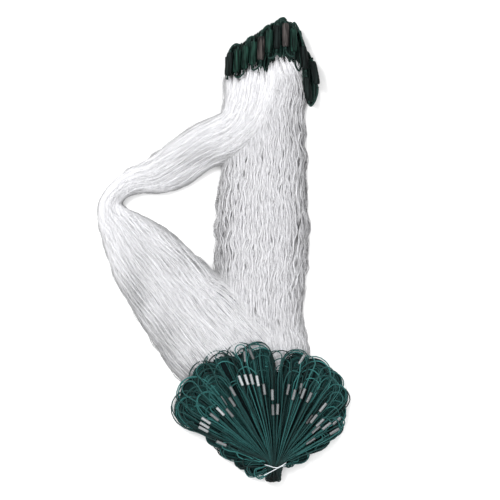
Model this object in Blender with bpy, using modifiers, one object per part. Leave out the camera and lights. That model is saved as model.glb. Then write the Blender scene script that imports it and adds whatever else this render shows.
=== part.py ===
"""A gill net made up for carriage: floats and head rope, two falls of netting, and the lead line in a tied fan.

It lies on a flat surface at z = 0, with the float end towards +Y and the tied lead line towards -Y.
"""

import math

import bmesh
import bpy
from mathutils import Vector

# Driving dimensions, in metres.
GAP = 0.0003  # between solids that touch

FALL_HEIGHT = 0.024  # the straight fall, pressed flat by its own weight
ARM_HEIGHT = 0.029  # the side fall at its elbow, a rounder rope of netting
HANK_HEIGHT = 0.022  # the bottom layer of the head rope's hank

FLOAT_LENGTH = 0.042
FLOAT_RADIUS = 0.0065
FLOAT_BORE = 0.0022
FLOAT_LEVEL = 0.0315  # height of the floats' axes
HEAD_ROPE_RADIUS = 0.0016
RUN_HALF = 0.0262  # half of the straight run of head rope through one float
TURN_HANDLE = 0.0085  # how far the head rope swings out beyond a run
TURN_SLACK = 0.008  # a run may end this much past the start of the next before its turn swings wider

SINKER_LENGTH = 0.020
SINKER_RADIUS = 0.0027
SINKER_BORE = 0.0013
LEAD_LINE_RADIUS = 0.0010

TIE_X, TIE_Y = 0.0936, -0.3888  # where the string draws the lead line together
NECK_HALF_WIDTH = 0.0175
NECK_END = 0.050  # distance from the tie to the mouth of the neck
FAN_CROWN = 0.030  # height of the middle of the fan
FAN_SIDE_DROP = 0.007  # how much lower the fan's outer lobes lie
FOOT_HEIGHT = 0.0105  # netting pressed under the fan
LOOP_START = 0.054  # distance from the tie to where an upper loop leaves the hank
LOOP_LIFT = 0.0042  # upper loops above the hank's crown
STRING_RADIUS = 0.00075

TUBE_RESOLUTION = 2  # bevel resolution of every rope
TURNED_STEPS = 12

# Netting: each station is (one edge), (other edge), base height, top height.
STRAIGHT_FALL = [
    ((0.0020, 0.3110), (0.1380, 0.3050), 0.0, 0.019),
    ((0.0000, 0.2620), (0.1460, 0.2620), 0.0, FALL_HEIGHT),
    ((-0.0010, 0.2100), (0.1490, 0.2100), 0.0, FALL_HEIGHT),
    ((-0.0030, 0.1550), (0.1510, 0.1550), 0.0, FALL_HEIGHT),
    ((-0.0090, 0.1060), (0.1500, 0.1060), 0.0, FALL_HEIGHT),
    ((-0.0140, 0.0540), (0.1550, 0.0540), 0.0, FALL_HEIGHT),
    ((-0.0150, 0.0000), (0.1540, 0.0000), 0.0, FALL_HEIGHT),
    ((-0.0150, -0.0600), (0.1480, -0.0600), 0.0, FALL_HEIGHT),
    ((-0.0150, -0.1200), (0.1410, -0.1200), 0.0, 0.020),
    ((-0.0140, -0.1500), (0.1500, -0.1500), 0.0, FOOT_HEIGHT),
    ((-0.0120, -0.1750), (0.1560, -0.1750), 0.0, FOOT_HEIGHT),
    ((0.0120, -0.2300), (0.1420, -0.2300), 0.0, FOOT_HEIGHT),
    ((0.0450, -0.2900), (0.1240, -0.2900), 0.0, FOOT_HEIGHT - 0.002),
    ((0.0660, -0.3280), (0.1140, -0.3280), 0.0, FOOT_HEIGHT - 0.004),
]
SIDE_FALL_UPPER = [
    ((0.1060, 0.2860), (0.0080, 0.2760), 0.0246, 0.034),
    ((0.0780, 0.2300), (0.0050, 0.2540), 0.0246, 0.039),
    ((0.0340, 0.1780), (-0.0020, 0.2480), 0.0252, 0.041),
    ((-0.0240, 0.1440), (-0.0520, 0.2250), 0.0100, 0.036),
    ((-0.0700, 0.1140), (-0.1080, 0.1860), 0.0, 0.032),
    ((-0.1060, 0.1030), (-0.1440, 0.1600), 0.0, 0.030),
    ((-0.1500, 0.1030), (-0.1830, 0.1410), 0.0, ARM_HEIGHT),
    ((-0.1700, 0.0960), (-0.2080, 0.1130), 0.0, ARM_HEIGHT),
    ((-0.1830, 0.0838), (-0.2262, 0.0694), 0.0, ARM_HEIGHT),
]
SIDE_FALL_LOWER = [
    ((-0.1829, 0.0833), (-0.2261, 0.0689), 0.0, ARM_HEIGHT),
    ((-0.1500, 0.0650), (-0.2180, 0.0240), 0.0, 0.028),
    ((-0.1060, 0.0400), (-0.1990, -0.0440), 0.0, 0.026),
    ((-0.0540, -0.0020), (-0.1650, -0.1060), 0.0, 0.025),
    ((-0.0200, -0.0390), (-0.1400, -0.1470), 0.0, 0.024),
    ((-0.0190, -0.1000), (-0.1170, -0.1840), 0.0, 0.023),
    ((-0.0190, -0.1600), (-0.0960, -0.2300), 0.0, 0.020),
]
HEAD_HANK = [
    ((0.0020, 0.3160), (0.0040, 0.3420), 0.0, 0.016),
    ((0.0220, 0.3175), (0.0270, 0.3600), 0.0, HANK_HEIGHT),
    ((0.0500, 0.3185), (0.0580, 0.3780), 0.0, HANK_HEIGHT),
    ((0.0800, 0.3185), (0.0860, 0.4040), 0.0, HANK_HEIGHT),
    ((0.1080, 0.3180), (0.1100, 0.4120), 0.0, HANK_HEIGHT),
    ((0.1290, 0.3160), (0.1320, 0.4030), 0.0, HANK_HEIGHT),
    ((0.1430, 0.3120), (0.1450, 0.3740), 0.0, HANK_HEIGHT),
    ((0.1530, 0.2700), (0.1580, 0.3480), 0.0, HANK_HEIGHT),
    ((0.1660, 0.2780), (0.1685, 0.3380), 0.0, 0.019),
    ((0.1730, 0.2940), (0.1745, 0.3260), 0.0, 0.014),
]
NECK = [
    ((TIE_X - NECK_HALF_WIDTH, TIE_Y + NECK_END), (TIE_X + NECK_HALF_WIDTH, TIE_Y + NECK_END), 0.0, 0.029),
    ((TIE_X - 0.0165, TIE_Y + 0.022), (TIE_X + 0.0165, TIE_Y + 0.022), 0.0, 0.030),
    ((TIE_X - 0.0155, TIE_Y), (TIE_X + 0.0155, TIE_Y), 0.0026, 0.029),
    ((TIE_X - 0.0190, TIE_Y - 0.014), (TIE_X + 0.0150, TIE_Y - 0.013), 0.0, 0.028),
    ((TIE_X - 0.0150, TIE_Y - 0.0302), (TIE_X + 0.0090, TIE_Y - 0.0280), 0.0, 0.018),
]

# Floats on the head rope: x, y and how far the top end leans towards +X in degrees.
# The head rope threads them in this order, up through the first and down through the next.
FLOATS = [
    (0.0108, 0.3330, 7.0, 1),
    (0.0252, 0.3390, 6.0, -1),
    (0.0396, 0.3455, 5.0, 1),
    (0.0540, 0.3525, 4.0, -1),
    (0.0684, 0.3615, 3.0, 1),
    (0.0828, 0.3735, 3.0, -1),
    (0.0972, 0.3810, 2.0, 1),
    (0.1125, 0.3850, 0.0, -1),
    (0.1269, 0.3760, -2.0, 1),
    (0.1462, 0.3440, -7.0, -1),
    (0.1518, 0.2885, -6.0, -1),
    (0.1647, 0.3170, -11.0, 1),
]

# Lobes of the fan: direction from the tie in degrees, reach, half width.
LOBES = [
    (-2.0, 0.040, 0.014),
    (14.0, 0.062, 0.020),
    (31.0, 0.148, 0.024),
    (38.0, 0.164, 0.022),
    (46.0, 0.183, 0.022),
    (57.0, 0.206, 0.030),
    (69.0, 0.213, 0.032),
    (79.0, 0.213, 0.028),
    (88.0, 0.212, 0.026),
    (98.0, 0.231, 0.030),
    (107.0, 0.233, 0.030),
    (117.0, 0.235, 0.032),
    (127.0, 0.233, 0.034),
    (138.0, 0.226, 0.036),
    (148.0, 0.214, 0.034),
    (160.0, 0.128, 0.030),
    (175.0, 0.070, 0.024),
    (192.0, 0.052, 0.018),
]
# Hank sectors: name, first and last direction in degrees, base height.
SECTORS = [
    ("lead_line_hank_right", -4.0, 60.0, 0.0),
    ("lead_line_hank_centre_right", 60.3, 98.0, FOOT_HEIGHT + GAP),
    ("lead_line_hank_centre_left", 98.3, 139.0, FOOT_HEIGHT + GAP),
    ("lead_line_hank_left", 139.3, 200.0, 0.0),
]

# Upper loops of the lead line. Each leg is its direction in degrees and the distances of the
# sinkers crimped on it; the loop's reach and half width follow.
LOOPS = [
    ((156.2, []), (152.2, [0.145]), 0.176, 0.008),
    ((149.4, [0.147]), (146.1, [0.149]), 0.210, 0.009),
    ((140.5, [0.141]), (134.5, [0.140]), 0.221, 0.014),
    ((129.8, [0.127]), (123.4, [0.140]), 0.227, 0.014),
    ((119.2, [0.156]), (111.6, [0.167]), 0.229, 0.015),
    ((108.1, [0.165]), (104.9, [0.163]), 0.228, 0.010),
    ((101.5, [0.158]), (98.0, [0.141]), 0.226, 0.010),
    ((92.2, [0.103, 0.130]), (87.6, [0.104]), 0.208, 0.012),
    ((75.5, [0.134]), (69.3, [0.141]), 0.208, 0.013),
    ((64.0, [0.139]), (57.5, []), 0.203, 0.013),
    ((51.4, [0.111, 0.137]), (44.6, [0.113]), 0.176, 0.012),
    ((38.6, [0.118]), (31.0, [0.124]), 0.150, 0.011),
]

# The string's loose end, over the neck: x, y, z.
STRING_TAIL = [
    (0.1085, -0.3845, 0.0310),
    (0.1040, -0.3872, 0.0330),
    (0.0985, -0.3903, 0.0334),
    (0.0925, -0.3935, 0.0327),
    (0.0860, -0.3972, 0.0317),
    (0.0790, -0.4010, 0.0300),
    (0.0735, -0.4042, 0.0270),
]


def clear_scene():
    for item in list(bpy.data.objects):
        bpy.data.objects.remove(item, do_unlink=True)


def new_collection(name):
    collection = bpy.data.collections.new(name)
    bpy.context.scene.collection.children.link(collection)
    return collection


def finish(item, colour, roughness, metallic=0.0):
    """Gives a sub-part its own material and puts it in the net's collection."""
    material = bpy.data.materials.new(item.name + "_material")
    material.use_nodes = True
    shader = material.node_tree.nodes["Principled BSDF"]
    shader.inputs["Base Color"].default_value = (*colour, 1.0)
    shader.inputs["Roughness"].default_value = roughness
    shader.inputs["Metallic"].default_value = metallic
    item.data.materials.append(material)
    net.objects.link(item)
    return item


NETTING_WHITE = ((0.82, 0.84, 0.88), 0.5)
ROPE_GREEN = ((0.012, 0.07, 0.065), 0.6)
FLOAT_GREEN = ((0.010, 0.045, 0.038), 0.55)
LEAD_GREY = ((0.55, 0.56, 0.57), 0.4, 0.9)
STRING_WHITE = ((0.80, 0.82, 0.84), 0.7)


def mesh_from(name, build):
    """An object whose mesh is filled in by the function build, faces outwards and shaded smooth."""
    shape = bmesh.new()
    build(shape)
    bmesh.ops.recalc_face_normals(shape, faces=shape.faces)
    data = bpy.data.meshes.new(name)
    shape.to_mesh(data)
    shape.free()
    data.shade_smooth()
    data.set_sharp_from_angle(angle=math.radians(40))
    return bpy.data.objects.new(name, data)


def bridge(shape, rings):
    """Skins a list of equal rings of points and caps both ends."""
    loops = [[shape.verts.new(point) for point in ring] for ring in rings]
    count = len(loops[0])
    for near, far in zip(loops, loops[1:]):
        for i in range(count):
            j = (i + 1) % count
            shape.faces.new((near[i], near[j], far[j], far[i]))
    shape.faces.new(loops[0])
    shape.faces.new(loops[-1])


def bundle_section():
    """A flat-bottomed arch across a bundle: (-1..1 across, 0..1 up)."""
    arch = [(math.cos(math.radians(a)), math.sin(math.radians(a))) for a in range(180, -1, -20)]
    raised = [(across, 0.25 + 0.75 * max(up, 0.0) ** 0.8) for across, up in arch]
    return [(-0.93, 0.0)] + raised + [(0.93, 0.0)]


def bundle(name, stations, look):
    """A loft through stations that differ in width, direction and height."""
    section = bundle_section()

    def build(shape):
        rings = []
        for one, other, base, top in stations:
            middle = (Vector(one) + Vector(other)) / 2
            half = (Vector(other) - Vector(one)) / 2
            ring = []
            for across, up in section:
                place = middle + half * across
                ring.append((place.x, place.y, base + (top - base) * up))
            rings.append(ring)
        bridge(shape, rings)

    return finish(mesh_from(name, build), *look)


def fan_reach(angle):
    """How far the fan's scalloped edge is from the tie in one direction (radians)."""
    reach = 0.0
    for degrees, lobe_reach, half_width in LOBES:
        turn = angle - math.radians(degrees)
        centre = lobe_reach - half_width
        side = centre * math.sin(turn)
        if abs(turn) < math.pi / 2 and abs(side) < half_width:
            reach = max(reach, centre * math.cos(turn) + math.sqrt(half_width**2 - side**2))
    return reach


def fan_inner(angle):
    """The hank's inner edge, clear of the neck and of the string round it."""
    beside = (NECK_HALF_WIDTH + 0.0005) / max(abs(math.cos(angle)), 0.01)
    beyond = NECK_END / max(math.sin(angle), 0.01)
    return min(beside, beyond) + 0.004


def fan_top(angle, distance, base):
    """Height of the hank's upper side: flat over the middle, rounded down to the lobes' ends."""
    inner = fan_inner(angle)
    share = min(1.0, (distance - inner) / (fan_reach(angle) - inner))
    crown = FAN_CROWN - FAN_SIDE_DROP * min(1.0, abs(math.degrees(angle) - 90.0) / 75.0) ** 2
    rounding = 1.0 - 0.55 * max(0.0, (share - 0.6) / 0.4) ** 2
    return base + (crown - base) * rounding


def on_fan(angle, distance):
    return TIE_X + distance * math.cos(angle), TIE_Y + distance * math.sin(angle)


def fan_sector(name, first, last, base):
    """One sector of the lead line's hank, lofted from radial sections whose reach differs."""
    count = max(6, round((last - first) / 4.0))
    shares = (0.0, 0.6, 0.85, 1.0)

    def build(shape):
        rings = []
        for i in range(count + 1):
            angle = math.radians(first + (last - first) * i / count)
            inner = fan_inner(angle)
            reach = fan_reach(angle)
            places = [inner + (reach - inner) * share for share in shares]
            upper = [(*on_fan(angle, place), fan_top(angle, place, base)) for place in places]
            lower = [(*on_fan(angle, reach - 0.002), base), (*on_fan(angle, inner), base)]
            rings.append(upper + lower)
        bridge(shape, rings)

    return finish(mesh_from(name, build), *ROPE_GREEN)


def tube(name, points, radius, look, closed=False):
    """A rope or string along a chain of points."""
    curve = bpy.data.curves.new(name, "CURVE")
    curve.dimensions = "3D"
    curve.bevel_depth = radius
    curve.bevel_resolution = TUBE_RESOLUTION
    curve.use_fill_caps = not closed
    spline = curve.splines.new("POLY")
    spline.points.add(len(points) - 1)
    for place, point in zip(spline.points, points):
        place.co = (*point, 1.0)
    spline.use_cyclic_u = closed
    return finish(bpy.data.objects.new(name, curve), *look)


def turned(name, profile, centre, axis, look):
    """A body turned from a closed profile of (radius, height), standing along axis at centre."""
    data = bpy.data.meshes.new(name)
    edges = [(i, (i + 1) % len(profile)) for i in range(len(profile))]
    data.from_pydata([(radius, 0.0, height) for radius, height in profile], edges, [])
    item = bpy.data.objects.new(name, data)
    screw = item.modifiers.new("turn", "SCREW")
    screw.steps = TURNED_STEPS
    screw.render_steps = TURNED_STEPS
    screw.use_merge_vertices = True
    screw.merge_threshold = 0.0001
    screw.use_smooth_shade = True
    item.location = centre
    item.rotation_mode = "QUATERNION"
    item.rotation_quaternion = Vector((0.0, 0.0, 1.0)).rotation_difference(Vector(axis))
    return finish(item, *look)


def swing(start, start_way, end, end_way, handle, count):
    """Points inside a smooth turn from start to end, leaving and arriving along the given ways."""
    first = start + start_way * handle
    second = end - end_way * handle
    points = []
    for i in range(1, count):
        t = i / count
        weights = ((1 - t) ** 3, 3 * t * (1 - t) ** 2, 3 * t * t * (1 - t), t**3)
        points.append(weights[0] * start + weights[1] * first + weights[2] * second + weights[3] * end)
    return points


def make_head_rope_and_floats():
    """The head rope runs to and fro, once through each float, and turns between them."""
    half = FLOAT_LENGTH / 2
    profile = [
        (0.70 * FLOAT_RADIUS, half),
        (0.92 * FLOAT_RADIUS, 0.86 * half),
        (FLOAT_RADIUS, 0.55 * half),
        (FLOAT_RADIUS, -0.55 * half),
        (0.92 * FLOAT_RADIUS, -0.86 * half),
        (0.70 * FLOAT_RADIUS, -half),
        (FLOAT_BORE, -half),
        (FLOAT_BORE, half),
    ]
    runs = []
    for number, (x, y, lean, way) in enumerate(FLOATS, 1):
        axis = Vector((math.sin(math.radians(lean)), math.cos(math.radians(lean)), 0.0))
        centre = Vector((x, y, FLOAT_LEVEL))
        turned(f"float_{number:02d}", profile, centre, axis, FLOAT_GREEN)
        runs.append((centre - axis * RUN_HALF * way, centre + axis * RUN_HALF * way, axis * way))
    points = [runs[0][0], runs[0][1]]
    for (_, end, way), (start, far, next_way) in zip(runs, runs[1:]):
        reversal = way.dot(next_way) < 0
        overrun = max(0.0, (end - start).dot(way) - TURN_SLACK)
        handle = TURN_HANDLE + 0.4 * overrun if reversal else 0.35 * (start - end).length
        points += swing(end, way, start, next_way, handle, 5)
        points += [start, far]
    tube("head_rope", points, HEAD_ROPE_RADIUS, ROPE_GREEN)


def leg_points(degrees, sinkers, reach, half_width, base):
    """Points out along one leg of an upper loop, dead straight where a sinker sits."""
    angle = math.radians(degrees)
    first = min(sinkers) - SINKER_LENGTH / 2 - 0.003 if sinkers else 0.080
    last = max(sinkers) + SINKER_LENGTH / 2 + 0.003 if sinkers else 0.130
    shoulder = max(last + 0.008, reach - 2.6 * half_width)
    level = max(fan_top(angle, first, base), fan_top(angle, last, base)) + LOOP_LIFT
    points = [Vector((*on_fan(angle, LOOP_START), fan_top(angle, LOOP_START, base) + 0.0024))]
    points.append(Vector((*on_fan(angle, first), level)))
    points.append(Vector((*on_fan(angle, last), level)))
    points.append(Vector((*on_fan(angle, shoulder), fan_top(angle, shoulder, base) + LOOP_LIFT)))
    return points


def base_under(degrees):
    """Base height of the hank sector that lies in one direction."""
    for _, first, last, base in SECTORS:
        if first <= degrees <= last + 0.3:
            return base
    return 0.0


def make_upper_loops():
    """Loops of lead line on top of the fan, with the lead sleeves crimped on them."""
    half = SINKER_LENGTH / 2
    profile = [
        (0.82 * SINKER_RADIUS, half),
        (SINKER_RADIUS, 0.90 * half),
        (SINKER_RADIUS, -0.90 * half),
        (0.82 * SINKER_RADIUS, -half),
        (SINKER_BORE, -half),
        (SINKER_BORE, half),
    ]
    number = 0
    for index, (out_leg, back_leg, reach, half_width) in enumerate(LOOPS, 1):
        middle = math.radians((out_leg[0] + back_leg[0]) / 2)
        base = base_under(math.degrees(middle))
        out_points = leg_points(*out_leg, reach, half_width, base)
        back_points = leg_points(*back_leg, reach, half_width, base)
        heart_x, heart_y = on_fan(middle, reach - half_width)
        crest = []
        for turn in (110, 75, 38, 0, -38, -75, -110):
            way = middle + math.radians(turn)
            x = heart_x + half_width * math.cos(way)
            y = heart_y + half_width * math.sin(way)
            distance = math.hypot(x - TIE_X, y - TIE_Y)
            here = math.atan2(y - TIE_Y, x - TIE_X)
            level = max(fan_top(middle, distance, base), fan_top(here, distance, base))
            crest.append(Vector((x, y, level + LOOP_LIFT)))
        points = out_points + crest + back_points[::-1]
        tube(f"lead_line_loop_{index:02d}", points, LEAD_LINE_RADIUS, ROPE_GREEN)
        for (degrees, sinkers), leg in ((out_leg, out_points), (back_leg, back_points)):
            angle = math.radians(degrees)
            for distance in sinkers:
                number += 1
                centre = Vector((*on_fan(angle, distance), leg[1].z))
                axis = (math.cos(angle), math.sin(angle), 0.0)
                turned(f"sinker_{number:02d}", profile, centre, axis, LEAD_GREY)


def make_tie():
    """The string round the neck, and its loose end."""
    _, _, base, top = NECK[2]
    half = (NECK[2][1][0] - NECK[2][0][0]) / 2
    clear = STRING_RADIUS + 0.0016
    ring = []
    for across, up in bundle_section()[1:-1]:
        height = base + (top - base) * up
        ring.append((TIE_X + across * (half + clear), TIE_Y, height + clear * max(up, 0.0)))
    under = STRING_RADIUS + 0.0001
    ring += [(TIE_X + across * half, TIE_Y, under) for across in (1.06, 0.5, 0.0, -0.5, -1.06)]
    tube("tie_string", ring, STRING_RADIUS, STRING_WHITE, closed=True)
    tube("tie_string_end", STRING_TAIL, STRING_RADIUS, STRING_WHITE)


clear_scene()
net = new_collection("bundled_gill_net")
bundle("netting_straight_fall", STRAIGHT_FALL, NETTING_WHITE)
bundle("netting_side_fall_upper", SIDE_FALL_UPPER, NETTING_WHITE)
bundle("netting_side_fall_lower", SIDE_FALL_LOWER, NETTING_WHITE)
bundle("head_rope_hank", HEAD_HANK, ROPE_GREEN)
make_head_rope_and_floats()
for sector in SECTORS:
    fan_sector(*sector)
bundle("lead_line_neck", NECK, ROPE_GREEN)
make_upper_loops()
make_tie()
bpy.context.view_layer.update()
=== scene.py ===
"""The looks of a gill net made up for carriage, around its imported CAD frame.

The net lies on a pale floor at z = 0 and is seen from straight above. Everything is in metres.
"""

import math

import bpy
import numpy as np
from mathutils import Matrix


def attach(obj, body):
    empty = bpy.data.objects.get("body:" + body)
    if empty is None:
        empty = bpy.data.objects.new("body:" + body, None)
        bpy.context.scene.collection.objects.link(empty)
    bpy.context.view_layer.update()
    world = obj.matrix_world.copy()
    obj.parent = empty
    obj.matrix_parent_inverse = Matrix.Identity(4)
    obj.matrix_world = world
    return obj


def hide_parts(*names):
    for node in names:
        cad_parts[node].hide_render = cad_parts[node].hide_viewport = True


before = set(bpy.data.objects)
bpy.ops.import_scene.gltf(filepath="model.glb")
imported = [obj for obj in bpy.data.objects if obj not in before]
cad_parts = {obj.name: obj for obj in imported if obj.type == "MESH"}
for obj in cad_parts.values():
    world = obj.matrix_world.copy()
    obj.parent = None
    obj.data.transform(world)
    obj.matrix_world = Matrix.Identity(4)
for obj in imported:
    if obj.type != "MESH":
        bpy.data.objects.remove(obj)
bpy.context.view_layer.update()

# ---------------------------------------------------------------- sizes repeated from the CAD part
FOOT_HEIGHT = 0.0105
FAN_CROWN = 0.030
FAN_SIDE_DROP = 0.007
TIE_X, TIE_Y = 0.0936, -0.3888
NECK_HALF_WIDTH = 0.0175
NECK_END = 0.050
LOOP_START = 0.054
LOOP_LIFT = 0.0042
SINKER_LENGTH = 0.020
SINKER_RADIUS = 0.0027
LEAD_LINE = 0.0020  # diameters
HEAD_ROPE = 0.0032
STRING = 0.0015
FLOAT_LENGTH = 0.042
FLOAT_RADIUS = 0.0065
FLOAT_BORE = 0.0022
FLOAT_LEVEL = 0.0315
RUN_HALF = 0.0262
TURN_HANDLE = 0.0085
TURN_SLACK = 0.008

# Floats: x, y, lean of the top end towards +X in degrees, way the head rope runs.
FLOATS = [
    (0.0108, 0.3330, 7.0, 1),
    (0.0252, 0.3390, 6.0, -1),
    (0.0396, 0.3455, 5.0, 1),
    (0.0540, 0.3525, 4.0, -1),
    (0.0684, 0.3615, 3.0, 1),
    (0.0828, 0.3735, 3.0, -1),
    (0.0972, 0.3810, 2.0, 1),
    (0.1125, 0.3850, 0.0, -1),
    (0.1269, 0.3760, -2.0, 1),
    (0.1462, 0.3440, -7.0, -1),
    (0.1518, 0.2885, -6.0, -1),
    (0.1647, 0.3170, -11.0, 1),
]
# Upper loops: two legs (direction, distances of their sinkers), reach, half width.
LOOPS = [
    ((156.2, []), (152.2, [0.145]), 0.176, 0.008),
    ((149.4, [0.147]), (146.1, [0.149]), 0.210, 0.009),
    ((140.5, [0.141]), (134.5, [0.140]), 0.221, 0.014),
    ((129.8, [0.127]), (123.4, [0.140]), 0.227, 0.014),
    ((119.2, [0.156]), (111.6, [0.167]), 0.229, 0.015),
    ((108.1, [0.165]), (104.9, [0.163]), 0.228, 0.010),
    ((101.5, [0.158]), (98.0, [0.141]), 0.226, 0.010),
    ((92.2, [0.103, 0.130]), (87.6, [0.104]), 0.208, 0.012),
    ((75.5, [0.134]), (69.3, [0.141]), 0.208, 0.013),
    ((64.0, [0.139]), (57.5, []), 0.203, 0.013),
    ((51.4, [0.111, 0.137]), (44.6, [0.113]), 0.176, 0.012),
    ((38.6, [0.118]), (31.0, [0.124]), 0.150, 0.011),
]

# ---------------------------------------------------------------- sizes that only the looks have
NECK_ENTRY = 0.012  # above the tie, where strands turn into the neck
NECK_FLOOR, NECK_TOP = 0.0026, 0.029  # between which strands lie in it
SLEEVE_BORE = 0.00115
COVERED_LEVEL, COVERED_HIGHEST = 0.0078, 0.3905  # of the covered floats' centres, in z and in y
DEEP_PITCH = 0.0034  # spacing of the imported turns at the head
HITCH_START, HITCH_LENGTH, TWINE_RADIUS = 0.0255, 0.0024, 0.00045
FILAMENT = 0.00036  # radius of a drawn filament, a few real ones together
UP = np.array([0.0, 0.0, 1.0])

# Lobes of the lead line's fan: direction from the tie in degrees, reach, half width, loops in it.
LOBES = [
    (12.0, 0.043, 0.011, 4),
    (21.0, 0.068, 0.014, 5),
    (29.0, 0.112, 0.017, 8),
    (34.0, 0.150, 0.021, 13),
    (41.0, 0.167, 0.022, 14),
    (48.0, 0.190, 0.023, 16),
    (57.0, 0.207, 0.028, 18),
    (67.0, 0.213, 0.030, 16),
    (78.0, 0.214, 0.026, 11),
    (87.0, 0.213, 0.022, 6),
    (98.0, 0.233, 0.030, 14),
    (107.0, 0.235, 0.028, 11),
    (117.0, 0.237, 0.030, 15),
    (127.0, 0.234, 0.032, 18),
    (137.0, 0.227, 0.034, 19),
    (146.0, 0.219, 0.034, 19),
    (155.0, 0.140, 0.017, 8),
    (162.0, 0.108, 0.016, 6),
    (172.0, 0.074, 0.016, 5),
    (187.0, 0.055, 0.017, 5),
    (203.0, 0.042, 0.014, 4),
]
# How much of the fan's reach is packed tight, by direction: farther out its turns are single and airy.
LOOSE = ((79, 1.0), (84, 0.92), (86, 0.75), (90, 0.75), (93, 0.92), (109, 0.92), (114, 1.0))
# Directions in which one lobe's edge meets the next one's, in shadow.
CREASES = (41.5, 72.0, 84.5, 91.5, 112.0, 124.0)
FOOT_FIRST, FOOT_LAST = 60.3, 139.0  # directions between which the fan lies on netting
LIT_SINKERS = (1, 2, 3, 5, 9, 10, 11, 12)  # painted light: these sleeves are coloured as lit, the rest in painted shade
# Tones of the sleeves: lit ones in painted light, the others and the buried ones in painted shade.
LIT_TONES, SHADED_TONES, BURIED_SHADED_TONES = (0.58, 0.86), (0.22, 0.42), (0.20, 0.40)
# Sinkers that show half buried among the turns: direction and distance from the tie.
BURIED_SINKERS = [
    (157.0, 0.101),
    (128.5, 0.150),
    (105.5, 0.206),
    (102.5, 0.205),
    (79.5, 0.138),
    (75.0, 0.197),
    (72.5, 0.150),
    (54.5, 0.104),
    (41.5, 0.099),
    (36.0, 0.079),
    (35.5, 0.136),
]

# Netting stations: (one edge), (other edge), base at each edge, thickness.
STRAIGHT_FALL = [
    ((0.001, 0.356), (0.125, 0.356), 0.017, 0.017, 0.005),
    ((0.001, 0.33), (0.143, 0.33), 0.0165, 0.0165, 0.005),
    ((0.0, 0.306), (0.153, 0.306), 0.004, 0.006, 0.018),
    ((-0.0005, 0.28), (0.155, 0.28), 0.0, 0.0, 0.024),
    ((-0.001, 0.256), (0.148, 0.256), 0.0, 0.0, 0.024),
    ((-0.001, 0.21), (0.149, 0.21), 0.0, 0.0, 0.024),
    ((-0.003, 0.155), (0.151, 0.155), 0.0, 0.0, 0.024),
    ((-0.009, 0.106), (0.15, 0.106), 0.0, 0.0, 0.024),
    ((-0.014, 0.054), (0.155, 0.054), 0.0, 0.0, 0.024),
    ((-0.015, 0.0), (0.154, 0.0), 0.0, 0.0, 0.024),
    ((-0.015, -0.06), (0.148, -0.06), 0.0, 0.0, 0.024),
    ((-0.012, -0.12), (0.144, -0.12), 0.0, 0.0, 0.02),
    ((-0.011, -0.15), (0.15, -0.15), 0.0, 0.0, 0.012),
    ((-0.01, -0.175), (0.156, -0.175), 0.0, 0.0, 0.0105),
    ((0.012, -0.23), (0.142, -0.23), 0.0, 0.0, 0.0105),
]
SIDE_FALL = [
    ((0.108, 0.356), (0.002, 0.356), 0.0205, 0.0205, 0.0035),
    ((0.108, 0.32), (0.002, 0.32), 0.0195, 0.02, 0.0045),
    ((0.101, 0.286), (0.003, 0.29), 0.019, 0.02, 0.008),
    ((0.085, 0.248), (0.003, 0.27), 0.018, 0.017, 0.011),
    ((0.066, 0.212), (0.001, 0.256), 0.018, 0.014, 0.014),
    ((0.033, 0.179), (-0.006, 0.246), 0.016, 0.01, 0.018),
    ((-0.024, 0.144), (-0.052, 0.225), 0.004, 0.004, 0.025),
    ((-0.07, 0.114), (-0.108, 0.186), 0.0, 0.0, 0.029),
    ((-0.106, 0.103), (-0.144, 0.16), 0.0, 0.0, 0.029),
    ((-0.148, 0.103), (-0.18, 0.141), 0.0, 0.0, 0.029),
    ((-0.173, 0.095), (-0.208, 0.113), 0.0, 0.0, 0.029),
    ((-0.1829, 0.0836), (-0.2245, 0.083), 0.0, 0.0, 0.029),
    ((-0.176, 0.077), (-0.2262, 0.056), 0.0, 0.0, 0.029),
    ((-0.15, 0.065), (-0.218, 0.02), 0.0, 0.0, 0.028),
    ((-0.106, 0.04), (-0.199, -0.044), 0.0, 0.0, 0.026),
    ((-0.054, -0.002), (-0.165, -0.106), 0.006, 0.0, 0.024),
    ((-0.012, -0.0414), (-0.14, -0.147), 0.014, 0.0, 0.02),
    ((0.033, -0.084), (-0.117, -0.184), 0.016, 0.0, 0.016),
    ((0.074, -0.126), (-0.0918, -0.2196), 0.012, 0.0, 0.013),
    ((0.106, -0.172), (-0.0594, -0.254), 0.003, 0.0, 0.0085),
    ((0.116, -0.22), (-0.02, -0.29), 0.001, 0.0, 0.008),
]
ELBOW_STATION = 11
# Tufts of netting at the head: spacing, rise and fall of their tips, drop at their edges, fray, length.
TUFT_PITCH, TUFT_RISE, TUFT_DROP, TUFT_FRAY, TUFT_LENGTH = 0.0076, 0.006, 0.036, 0.003, 0.022
GAP_PUSH = 0.0011  # how far filaments part at a gap
STRAY_REACH = 0.0026  # how far single filaments bulge from a fall's edges
FRINGE_REACH = 0.012  # how far the side fall's inner edge spreads over the straight fall
RIM_SINK = 0.006  # and how deep it sinks in there
# How far up the netting's tips reach between the floats, by x.
TIP_LINE = [
    (0.0, 0.318), (0.015, 0.318), (0.027, 0.315), (0.042, 0.325), (0.047, 0.332), (0.062, 0.331),
    (0.074, 0.321), (0.08, 0.327), (0.09, 0.345), (0.111, 0.349), (0.12, 0.341), (0.128, 0.325),
    (0.144, 0.314), (0.154, 0.299),
]

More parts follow.
